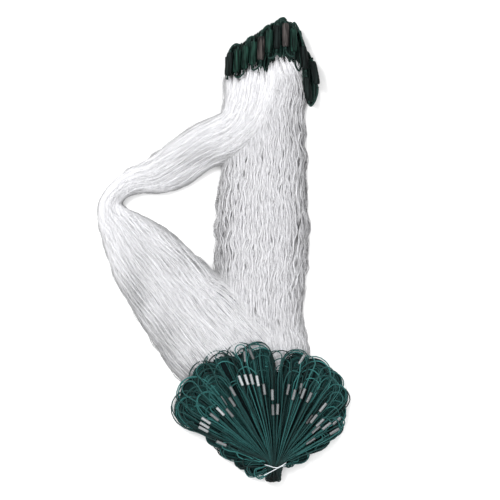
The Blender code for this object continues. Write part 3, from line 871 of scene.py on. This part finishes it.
def fan_top(angle, distance, base):
    """The height of the hank's top there, highest in the middle of the fan."""
    inner = fan_inner(angle)
    share = min(1.0, (distance - inner) / (fan_reach(angle) - inner))
    crown = FAN_CROWN - FAN_SIDE_DROP * min(1.0, abs(math.degrees(angle) - 90.0) / 75.0) ** 2
    rounding = 1.0 - 0.55 * max(0.0, (share - 0.6) / 0.4) ** 2
    return base + (crown - base) * rounding


def on_fan(angle, distance):
    return TIE_X + distance * math.cos(angle), TIE_Y + distance * math.sin(angle)


def fan_shade(x, y):
    """The turns' painted light and shade: paler far out from the tie, dark where two lobes meet."""
    degrees = math.degrees(math.atan2(y - TIE_Y, x - TIE_X))
    distance = math.hypot(x - TIE_X, y - TIE_Y)
    depth = sum(math.exp(-(((degrees - crease) / 1.7) ** 2)) for crease in CREASES)
    pale = 1.0 + 0.40 * float(ease(distance, 0.11, 0.18))
    return pale * (1.0 - 0.6 * min(1.0, depth) * float(ease(distance, 0.10, 0.16)))


def sector_base(degrees):
    return FOOT_HEIGHT + 0.0003 if FOOT_FIRST <= degrees <= FOOT_LAST + 0.3 else 0.0


def upper_leg(degrees, sinkers, reach, half_width, base):
    """Points along one leg of an upper loop, laid out as in the CAD part: straight through its sinkers."""
    angle = math.radians(degrees)
    first = min(sinkers) - SINKER_LENGTH / 2 - 0.003 if sinkers else 0.080
    last = max(sinkers) + SINKER_LENGTH / 2 + 0.003 if sinkers else 0.130
    shoulder = max(last + 0.008, reach - 2.6 * half_width)
    level = max(fan_top(angle, first, base), fan_top(angle, last, base)) + LOOP_LIFT
    return [
        (*on_fan(angle, LOOP_START), fan_top(angle, LOOP_START, base) + 0.0024),
        (*on_fan(angle, first), level),
        (*on_fan(angle, (first + last) / 2), level),
        (*on_fan(angle, last), level),
        (*on_fan(angle, shoulder), fan_top(angle, shoulder, base) + LOOP_LIFT),
    ]


def upper_loop(out_leg, back_leg, reach, half_width):
    middle = math.radians((out_leg[0] + back_leg[0]) / 2)
    base = sector_base(math.degrees(middle))
    heart_x, heart_y = on_fan(middle, reach - half_width)
    crest = []
    for turn in (110, 75, 38, 0, -38, -75, -110):
        way = middle + math.radians(turn)
        x = heart_x + half_width * math.cos(way)
        y = heart_y + half_width * math.sin(way)
        distance = math.hypot(x - TIE_X, y - TIE_Y)
        here = math.atan2(y - TIE_Y, x - TIE_X)
        level = max(fan_top(middle, distance, base), fan_top(here, distance, base))
        crest.append((x, y, level + LOOP_LIFT))
    out_points = upper_leg(*out_leg, reach, half_width, base)
    back_points = upper_leg(*back_leg, reach, half_width, base)
    return out_points + crest + back_points[::-1]


def hank_loop(rng, degrees, lobe_reach, lobe_half, level):
    """One of the hank's own loops, under the upper ones, at a level from 0, lowest, to 1."""
    middle = math.radians(degrees + rng.normal(0, 1.5))
    nesting = rng.uniform(0, 1) ** 1.3
    reach = lobe_reach * (1 - 0.36 * nesting)
    half = max(0.0064, lobe_half * (0.96 - 0.72 * nesting + rng.uniform(-0.10, 0.02)))
    skew = rng.uniform(-0.25, 0.25)
    heart = reach - half
    points = []
    for distance, offset in ((0.30, 0.22), (0.52, 0.42), (0.74, 0.72)):
        points.append((distance * heart, half * (offset + 0.15 * skew)))
    for turn in (82, 48, 14, -20, -54, -88):
        way = math.radians(turn + 10 * skew)
        points.append((heart + half * math.cos(way), half * math.sin(way)))
    for distance, offset in ((0.74, 0.74), (0.52, 0.42), (0.30, 0.22)):
        points.append((distance * heart, -half * (offset - 0.15 * skew)))
    wander = rng.uniform(0, 6.28)
    out = []
    for i, (ahead, aside) in enumerate(points):
        aside += 0.0016 * math.sin(i * 1.7 + wander)
        x = TIE_X + ahead * math.cos(middle) - aside * math.sin(middle)
        y = TIE_Y + ahead * math.sin(middle) + aside * math.cos(middle)
        angle = math.atan2(y - TIE_Y, x - TIE_X)
        distance = math.hypot(x - TIE_X, y - TIE_Y)
        if angle < -math.pi / 2:
            angle += 2 * math.pi
        base = fan_base(angle) + LEAD_LINE / 2 + 0.0003
        top = max(base + 0.004, fan_top(angle, min(distance, reach), fan_base(angle)) - 0.0012)
        lift = level + 0.10 * math.sin(i * 0.9 + wander)
        out.append((x, y, base + (top - base) * min(1.0, max(0.0, lift))))
    return out


def neck_cells():
    """Places in the neck's arched section for the strands that pass through it, by rows."""
    rows = []
    pitch, rise = 0.00150, 0.00138
    z = NECK_FLOOR + 0.0010
    number = 0
    while z < NECK_TOP - 0.0008:
        share = (z - NECK_FLOOR) / (NECK_TOP - NECK_FLOOR)
        arch = max(0.0, (share - 0.25) / 0.75) ** 1.25
        half = (NECK_HALF_WIDTH - 0.0018) * math.sqrt(max(0.02, 1 - arch**2))
        count = max(2, int(2 * half / pitch))
        shift = (number % 2) * pitch / 2 - pitch / 4
        rows.append([(TIE_X + (i - (count - 1) / 2) * pitch + shift, z) for i in range(count)])
        z += rise
        number += 1
    return rows


def assign_cells(legs):
    """Gives each leg, listed from the lowest up, a cell; in a row, legs keep the order they fan out in."""
    rows = neck_cells()
    total = sum(len(row) for row in rows)
    share = len(legs) / total
    cells, start, filled = {}, 0, 0.0
    for row in rows:
        filled += len(row) * share
        stop = min(len(legs), round(filled))
        group = sorted(range(start, stop), key=lambda i: -legs[i])
        for place, i in enumerate(group):
            position = (place + 0.5) / max(1, len(group)) * (len(row) - 1)
            left, right = row[int(position)], row[min(len(row) - 1, int(position) + 1)]
            blend = position - int(position)
            cells[i] = (left[0] + (right[0] - left[0]) * blend, left[1])
        start = stop
    return cells


def tail_fold(rng, here, there):
    """The fold below the tie from one strand's cell to the next one's."""
    middle = TIE_X + ((here[0] + there[0]) / 2 - TIE_X) * 0.85 - 0.003
    way = 1.0 if there[0] >= here[0] else -1.0
    half = max(0.0036, abs(there[0] - here[0]) * 0.45) * way
    depth = rng.uniform(0.017, 0.0285)
    drop = 0.5 + 0.35 * rng.uniform(0, 1)
    low = max(0.0014, min(here[1], there[1]) * drop)
    level = (here[1] + there[1]) / 2 * 0.8
    bottom = TIE_Y - depth
    return [
        (middle - half, bottom + 0.0075, level),
        (middle - half * 1.05, bottom + 0.0030, low),
        (middle - half * 0.55, bottom + 0.0004, low),
        (middle + half * 0.55, bottom + 0.0004, low),
        (middle + half * 1.05, bottom + 0.0030, low),
        (middle + half, bottom + 0.0075, level),
    ]


def make_lead_line():
    """The lead line folded to and fro into the fan, as two stretches of one rope: gives their paths."""
    rng = np.random.default_rng(21)
    rope = rope_material("lead_line_rope", (0.001, 0.005, 0.006), (0.026, 0.118, 0.113), 0.0085, 0.50)
    plan = []
    for degrees, reach, half, count in LOBES:
        for i in range(count):
            plan.append((degrees, reach, half, (i + rng.uniform(0.1, 0.9)) / count))
    plan.sort(key=lambda item: item[3])
    loops = []
    for item in plan:
        points = hank_loop(rng, *item)
        # Random tone for each loop, a little paler for the higher ones as painted light.
        loops.append((points, 0.04 + 1.75 * rng.uniform(0, 1) ** 1.7 + 0.15 * item[3]))
    loops += [(upper_loop(*item), rng.uniform(0.35, 1.25)) for item in LOOPS]
    legs = []
    for points, _ in loops:
        for end in (points[0], points[-1]):
            legs.append(math.atan2(end[1] - TIE_Y, end[0] - TIE_X) % (2 * math.pi))
    legs = [angle - 2 * math.pi if angle > 1.5 * math.pi else angle for angle in legs]
    cells = assign_cells(legs)

    made = []
    halves = (range(0, len(loops) // 2), range(len(loops) // 2, len(loops)))
    names = ("lead_line_lower_turns", "lead_line_upper_turns")
    for name, part in zip(names, halves):
        route, shades = [], []
        for k in part:
            points, shade = loops[k]
            going, coming = cells[2 * k], cells[2 * k + 1]
            near = (going[0] + (points[0][0] - going[0]) * 0.30, TIE_Y + NECK_ENTRY, going[1])
            back = (coming[0] + (points[-1][0] - coming[0]) * 0.30, TIE_Y + NECK_ENTRY, coming[1])
            stretch = [(going[0], TIE_Y, going[1]), near] + points + [back, (coming[0], TIE_Y, coming[1])]
            tones = [shade * fan_shade(x, y) for x, y, _ in stretch]
            # Painted shade: the legs darken as they enter the neck, and the tail's folds are darker still.
            for i, share in ((0, 0.25), (1, 0.50), (-2, 0.50), (-1, 0.25)):
                tones[i] *= share
            if k + 1 in part:
                fold = tail_fold(rng, coming, cells[2 * k + 2])
                stretch += fold
                tones += [0.14 * shade] * len(fold)
            route += stretch
            shades += tones
        path = smooth_curve(route, 0.011, 2, 3)
        path[:, 2] = np.maximum(path[:, 2], LEAD_LINE / 2 + 0.0001)
        piece = rope_mesh(name, path, LEAD_LINE, rope, 8, along_curve(shades, route, 0.011, 2, 3))
        on_net(piece)
        if name == "lead_line_lower_turns":
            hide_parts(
                "lead_line_hank_right", "lead_line_hank_centre_right", "lead_line_hank_centre_left",
                "lead_line_hank_left", "lead_line_neck",
            )
        else:
            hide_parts(*[f"lead_line_loop_{i:02d}" for i in range(1, len(LOOPS) + 1)])
        made.append(path)
    return made


def strand_place(x, y):
    """Which strand of the nearest lobe runs here, counted from its middle, and how far along it."""
    best = (9.0, 0.0, 0.0)
    for number, (degrees, reach, half, _) in enumerate(LOBES):
        middle = math.radians(degrees)
        ahead = (x - TIE_X) * math.cos(middle) + (y - TIE_Y) * math.sin(middle)
        aside = (y - TIE_Y) * math.cos(middle) - (x - TIE_X) * math.sin(middle)
        heart = reach - half
        if ahead < heart:
            share = abs(aside) / (half * (0.25 + 0.75 * max(0.0, ahead) / heart))
        else:
            share = math.hypot(ahead - heart, aside) / half
        if share < best[0]:
            best = (share, share * half / 0.0021 + 40.0 * number, ahead)
    return best[1:]


def make_fan_core():
    """The deepest turns of the hank, packed into one ridged body that fills the gaps between the others."""
    # Darker than the lead line's rope: painted shade, for turns that lie deep in the hank.
    material = packed_material("deep_turns_painted_shade", (0.0008, 0.003, 0.004), (0.017, 0.078, 0.073))
    rng = np.random.default_rng(5)
    first, last, columns = math.radians(4), math.radians(206), 460
    shares = np.concatenate([np.linspace(0.0, 0.82, 42), [0.86, 0.90, 0.93, 0.955, 0.97]])
    swells = [(rng.uniform(60, 160), rng.uniform(0, 6.28)) for _ in range(5)]
    upper, lower, shade, uvs = [], [], [], []
    for i in range(columns):
        angle = first + (last - first) * i / (columns - 1)
        inner, reach = fan_inner(angle), fan_reach(angle)
        base = fan_base(angle)
        loose = np.interp(math.degrees(angle), *zip(*LOOSE))
        ridge = sum(math.sin(angle * rate + phase) for rate, phase in swells) / len(swells)
        for share in shares:
            distance = inner + max(0.0, reach - inner) * share * loose
            edge = 1.0 - max(0.0, (share - 0.80) / 0.17) ** 2
            height = (fan_top(angle, distance, base) - base) * (0.56 + 0.12 * ridge) * edge
            x, y = on_fan(angle, distance)
            upper.append((x, y, base + 0.0006 + max(0.0, height)))
            lower.append((x, y, max(0.0002, base - 0.0002)))
            shade.append(0.9 * fan_shade(x, y))
            uvs.append(strand_place(x, y))
    rings = len(shares)
    grid = np.arange(columns * rings).reshape(columns, rings)
    a, b, c, d = grid[:-1, :-1], grid[1:, :-1], grid[1:, 1:], grid[:-1, 1:]
    top = np.stack([a, d, c, b], -1).reshape(-1, 4)
    below = np.stack([a, b, c, d], -1).reshape(-1, 4) + columns * rings
    quads = np.concatenate([top, below, slab_side(grid, columns * rings, True)])
    points, shade, uvs = upper + lower, np.array(shade * 2), np.array(uvs * 2)
    on_net(quad_mesh("lead_line_deep_turns", points, quads, material, shade, uvs))


def make_sinkers(line_paths):
    """The CAD part's sinkers, then the half buried ones, each on the nearest strand that runs outward."""
    rng = np.random.default_rng(3)
    metal = lead_material()
    number = 0
    for out_leg, back_leg, reach, half_width in LOOPS:
        middle = (out_leg[0] + back_leg[0]) / 2
        base = sector_base(middle)
        for degrees, sinkers in (out_leg, back_leg):
            for distance in sinkers:
                number += 1
                angle = math.radians(degrees)
                level = upper_leg(degrees, sinkers, reach, half_width, base)[1][2]
                centre = (*on_fan(angle, distance), level)
                tone = rng.uniform(*(LIT_TONES if number in LIT_SINKERS else SHADED_TONES))
                piece = lead_sleeve(f"lead_sleeve_{number:02d}", centre, angle, rng, metal, tone)
                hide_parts(f"sinker_{number:02d}")
                on_net(piece)
    points = np.concatenate(line_paths)
    ways = np.concatenate([np.gradient(path, axis=0)[:, :2] for path in line_paths])
    ways = ways / np.linalg.norm(ways, axis=1)[:, None]
    for number, (degrees, distance) in enumerate(BURIED_SINKERS, 1):
        x, y = on_fan(math.radians(degrees), distance)
        aside = np.hypot(points[:, 0] - x, points[:, 1] - y)
        outward = np.abs(ways @ (math.cos(math.radians(degrees)), math.sin(math.radians(degrees))))
        nearest = int(np.argmax(points[:, 2] - 3.0 * aside + 0.03 * np.minimum(outward, 0.97)))
        angle = math.atan2(ways[nearest, 1], ways[nearest, 0])
        tone = rng.uniform(*BURIED_SHADED_TONES)
        piece = lead_sleeve(f"buried_sleeve_{number:02d}", points[nearest], angle, rng, metal, tone)
        on_net(piece)


def lead_sleeve(name, centre, angle, rng, metal, painted_tone):
    """A sleeve crimped on the line: pinched in three places, with a seam, blunt ends and a bore."""
    sides, half = 20, SINKER_LENGTH / 2
    end = [0.90, 0.95, 0.985, 1.0]
    stations = np.concatenate([np.negative(end[::-1]), np.linspace(-0.84, 0.84, 25), end])
    outline = np.interp(np.abs(stations), [0, 0.90, 0.95, 0.985, 1.0], [1.0, 1.0, 0.97, 0.90, 0.80])
    for place in (-0.5, 0.0, 0.5):
        outline = outline - 0.07 * np.exp(-(((stations - place + rng.uniform(-0.03, 0.03)) / 0.06) ** 2))
    outline = outline * SINKER_RADIUS
    turn = np.arange(sides) * 2 * math.pi / sides
    seam = rng.uniform(0.3, 2.4)
    groove = 1 - 0.13 * np.exp(-((np.angle(np.exp(1j * (turn - seam))) / 0.16) ** 2))
    dents = 1 + 0.02 * np.sin(turn[None, :] * 2 + stations[:, None] * 5 + rng.uniform(0, 6.28))
    radius = outline[:, None] * groove[None, :] * dents
    bore = np.full((1, sides), SLEEVE_BORE)
    radius = np.concatenate([bore, radius, bore])
    along = np.concatenate([[-0.995], stations, [0.995]]) * half
    way = np.array([math.cos(angle), math.sin(angle), 0.0])
    points, quads = bored_rings(centre, way, along, radius)
    # Painted shade: the ends darken, and the whole sleeve takes its painted lit or shaded tone.
    tone = np.interp(np.abs(along), [0, 0.82 * half, 0.95 * half, half], [1.0, 1.0, 0.55, 0.2])
    return quad_mesh(name, points, quads, metal, np.repeat(tone * painted_tone, sides))


# ---------------------------------------------------------------- head rope and floats
def float_axis(lean):
    return np.array([math.sin(math.radians(lean)), math.cos(math.radians(lean)), 0.0])


def swing(start, start_way, end, end_way, handle, count):
    """Points between two ends of a cubic curve that leaves and arrives along the given ways."""
    first, second = start + start_way * handle, end - end_way * handle
    t = (np.arange(1, count) / count)[:, None]
    return (1 - t) ** 3 * start + 3 * t * (1 - t) ** 2 * first + 3 * t * t * (1 - t) * second + t**3 * end


def make_head_rope():
    """The run of head rope that threads the upper floats: gives its material."""
    rope = rope_material("head_rope_rope", (0.002, 0.008, 0.007), (0.011, 0.040, 0.032), 0.011)
    runs = []
    for x, y, lean, way in FLOATS:
        axis, centre = float_axis(lean), np.array([x, y, FLOAT_LEVEL])
        runs.append((centre - axis * RUN_HALF * way, centre + axis * RUN_HALF * way, axis * way))
    points = [runs[0][0], (runs[0][0] + runs[0][1]) / 2, runs[0][1]]
    for (_, end, way), (start, far, next_way) in zip(runs, runs[1:]):
        reversal = float(way @ next_way) < 0
        overrun = max(0.0, float((end - start) @ way) - TURN_SLACK)
        handle = TURN_HANDLE + 0.4 * overrun if reversal else 0.35 * np.linalg.norm(start - end)
        points += list(swing(end, way, start, next_way, handle, 12))
        points += [start, (start + far) / 2, far]
    path = np.array(points)
    piece = rope_mesh("head_rope_threaded", path, HEAD_ROPE, rope, 12)
    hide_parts("head_rope")
    on_net(piece)
    return rope


def float_mesh(name, centre, lean, rng, material):
    """A slim foam float: a barrel with rounded shoulders, faint lengthways creases and a bore."""
    sides, half = 36, FLOAT_LENGTH / 2
    places = np.array([0.2, 0.4, 0.62, 0.78, 0.88, 0.95, 0.985, 1.0])
    along = np.concatenate([-places[::-1], [0.0], places])
    outline = np.interp(np.abs(along), places[1:], [1.0, 0.985, 0.94, 0.88, 0.79, 0.70, 0.60])
    turn = np.arange(sides) * 2 * math.pi / sides
    creases = 1 - 0.045 * np.abs(np.sin(turn * 4.5 + rng.uniform(0, 3))) * rng.uniform(0.4, 1.0)
    dents = 1 + 0.02 * np.sin(turn[None, :] * 3 + along[:, None] * 4 + rng.uniform(0, 6.28))
    wall = outline[:, None] * creases[None, :] * np.minimum(dents, 1.0) * FLOAT_RADIUS
    bore = np.full((1, sides), FLOAT_BORE)
    rings = np.concatenate([bore, bore * 1.25, wall, bore * 1.25, bore])
    along = np.concatenate([[-0.9, -1.0], along, [1.0, 0.9]]) * half
    points, quads = bored_rings(centre, float_axis(lean), along, rings, flip=True)
    return quad_mesh(name, points, quads[:, ::-1], material)


def make_floats():
    """The 12 floats that slide, and between and under the first ten of them those that they cover."""
    rng = np.random.default_rng(11)
    looks = [
        foam_material("foam_green", (0.0012, 0.005, 0.004), (0.016, 0.054, 0.040)),
        foam_material("foam_black", (0.001, 0.002, 0.002), (0.011, 0.018, 0.017)),
        foam_material("foam_grey", (0.008, 0.008, 0.008), (0.080, 0.070, 0.067)),
    ]
    chosen = (1, 0, 0, 0, 2, 0, 1, 2, 0, 1, 1, 1)
    for i, ((x, y, lean, _), look) in enumerate(zip(FLOATS, chosen), 1):
        piece = float_mesh(f"foam_float_{i:02d}", (x, y, FLOAT_LEVEL), lean, rng, looks[look])
        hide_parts(f"float_{i:02d}")
        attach(piece, f"float_{i:02d}")
    for i, (here, after) in enumerate(zip(FLOATS[:9], FLOATS[1:10])):
        x = (here[0] + after[0]) / 2
        top = np.interp(x, *np.array(HEAD_TOP).T) + rng.uniform(-0.004, 0.0005)
        place = (x, min(top - FLOAT_LENGTH / 2, COVERED_HIGHEST), COVERED_LEVEL)
        piece = float_mesh(f"covered_float_{i + 1:02d}", place, here[2], rng, looks[i % 2])
        on_net(piece)


def make_head_core():
    """The inside of the head's bundle: packed turns and floats, seen only as dark ridges in its gaps."""
    # Darker than the head rope: painted shade, for the turns and floats deep in the bundle.
    material = packed_material("deep_head_turns_painted_shade", (0.001, 0.003, 0.003), (0.008, 0.030, 0.024))
    rng = np.random.default_rng(29)
    top, foot = np.array(HEAD_TOP), np.array(HEAD_FOOT)
    xs = np.arange(0.0035, 0.1716, 0.0008)
    rises = np.concatenate([[0.0, 0.02, 0.06, 0.12], np.linspace(0.2, 0.8, 18), [0.88, 0.94, 0.98, 1.0]])
    ragged = ripple(waves(rng, (0.004, 0.011), (1.0, 2.0), 9), xs, 0.0)[0]
    high = np.interp(xs, top[:, 0], top[:, 1]) - 0.0015 + 0.0016 * ragged
    low = np.interp(xs, foot[:, 0], foot[:, 1]) + 0.0025 * ragged[::-1]
    x = xs[:, None] + 0.0 * rises
    y = low[:, None] + (high - low)[:, None] * rises
    ridge = ripple(waves(rng, (0.003, 0.008), (0.06, 0.2), 9), x, y)[0]
    inset = np.minimum(np.minimum(high[:, None] - y, y - low[:, None]), np.minimum(x - xs[0], xs[-1] - x))
    z = 0.0012 + (0.0135 + 0.0016 * ridge) * np.sqrt(ease(inset, -0.0005, 0.008))
    upper = np.stack([x, y, z], -1).reshape(-1, 3)
    lower = np.stack([x, y, 0.0006 + 0.0 * z], -1).reshape(-1, 3)
    grid = np.arange(len(upper)).reshape(x.shape)
    near, far = grid[:-1], grid[1:]
    face = np.stack([near[:, :-1], far[:, :-1], far[:, 1:], near[:, 1:]], -1).reshape(-1, 4)
    points = np.concatenate([upper, lower])
    quads = np.concatenate([face, face[:, ::-1] + len(upper), slab_side(grid, len(upper), False)])
    shade, uvs = np.ones(len(points)), points[:, :2] / DEEP_PITCH
    on_net(quad_mesh("deep_head_turns_painted_shade", points, quads, material, shade, uvs))


def make_head_hank(rope):
    """The rest of the head rope, to and fro under the threaded run."""
    rng = np.random.default_rng(17)
    low, high = np.array(HEAD_FOOT), np.array(HEAD_TOP)
    route, tones = [], []
    upward = True
    for layer, level in enumerate((0.0160, 0.0182, 0.0204)):
        places = np.arange(0.0085 + 0.0029 * layer, 0.166, 0.0088)
        if layer % 2:
            places = places[::-1]
        for x in places:
            x += rng.uniform(-0.0012, 0.0012)
            lean = 0.007 * float(ease(x, 0.04, 0.09)) * (1 - float(ease(x, 0.105, 0.125)))
            lean = lean + 0.002 * rng.normal()
            bottom = np.interp(x, low[:, 0], low[:, 1]) + rng.uniform(0.006, 0.013)
            top = np.interp(x + lean, high[:, 0], high[:, 1]) - rng.uniform(0.0060, 0.0120)
            z = level + rng.uniform(-0.0005, 0.0005)
            ends = [(x, bottom, z), (x + lean * 0.4, (bottom + top) / 2, z + 0.0008), (x + lean, top, z)]
            if not upward:
                ends = ends[::-1]
            route += ends
            tones += [rng.uniform(0.25, 1.3)] * 3
            upward = not upward
    rounded, shades = [route[0]], [tones[0]]
    for a, b, tone in zip(route, route[1:], tones[1:]):
        if abs(b[0] - a[0]) > 0.005 or abs(b[2] - a[2]) > 0.0016:
            way = 1.0 if a[1] > 0.33 and b[1] > 0.33 else -1.0
            bulge = 0.0046 * way
            for share, part in ((0.12, 0.70), (0.5, 1.0), (0.88, 0.70)):
                x, y, z = (a[k] + (b[k] - a[k]) * share for k in range(3))
                rounded.append((x, y + bulge * part, z))
                shades.append(tone)
        rounded.append(b)
        shades.append(tone)
    path = smooth_curve(rounded, 0.008, 2, 5)
    shades = along_curve(shades, rounded, 0.008, 2, 5)
    piece = rope_mesh("head_rope_turns", path, HEAD_ROPE, rope, 10, shades)
    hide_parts("head_rope_hank")
    on_net(piece)


def make_hitches(rope):
    """The hitches that keep each float on its stretch of rope: three turns of twine at each end."""
    turn = np.linspace(0, 6 * math.pi, 44)
    paths = []
    for x, y, lean, _ in FLOATS:
        way = float_axis(lean)
        aside = np.array([way[1], -way[0], 0.0])
        for end in (-1, 1):
            places = (HITCH_START + HITCH_LENGTH * turn / turn[-1]) * end
            radius = HEAD_ROPE / 2 + 0.0003
            round_it = np.cos(turn)[:, None] * aside + np.sin(turn)[:, None] * UP
            paths.append(np.array([x, y, FLOAT_LEVEL]) + places[:, None] * way + radius * round_it)
    on_net(strand_mesh("hitches", np.array(paths), TWINE_RADIUS, 1.0, rope, 6))


def make_tie():
    """The white string round the neck, with its loose end."""
    string = rope_material("tie_string_cord", (0.45, 0.50, 0.53), (0.86, 0.90, 0.93), 0.004, 0.6)
    path = smooth_curve(STRING_ROUTE, 0.003, 2, 5)
    piece = rope_mesh("tie_string_wrap", path, STRING, string, 10)
    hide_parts("tie_string", "tie_string_end")
    on_net(piece)


make_camera()
lead_line_paths = make_lead_line()
head_rope_look = make_head_rope()
make_head_hank(head_rope_look)
make_tie()
make_studio()
make_fan_core()
make_head_core()
make_hitches(head_rope_look)
make_sinkers(lead_line_paths)
make_floats()
make_netting()
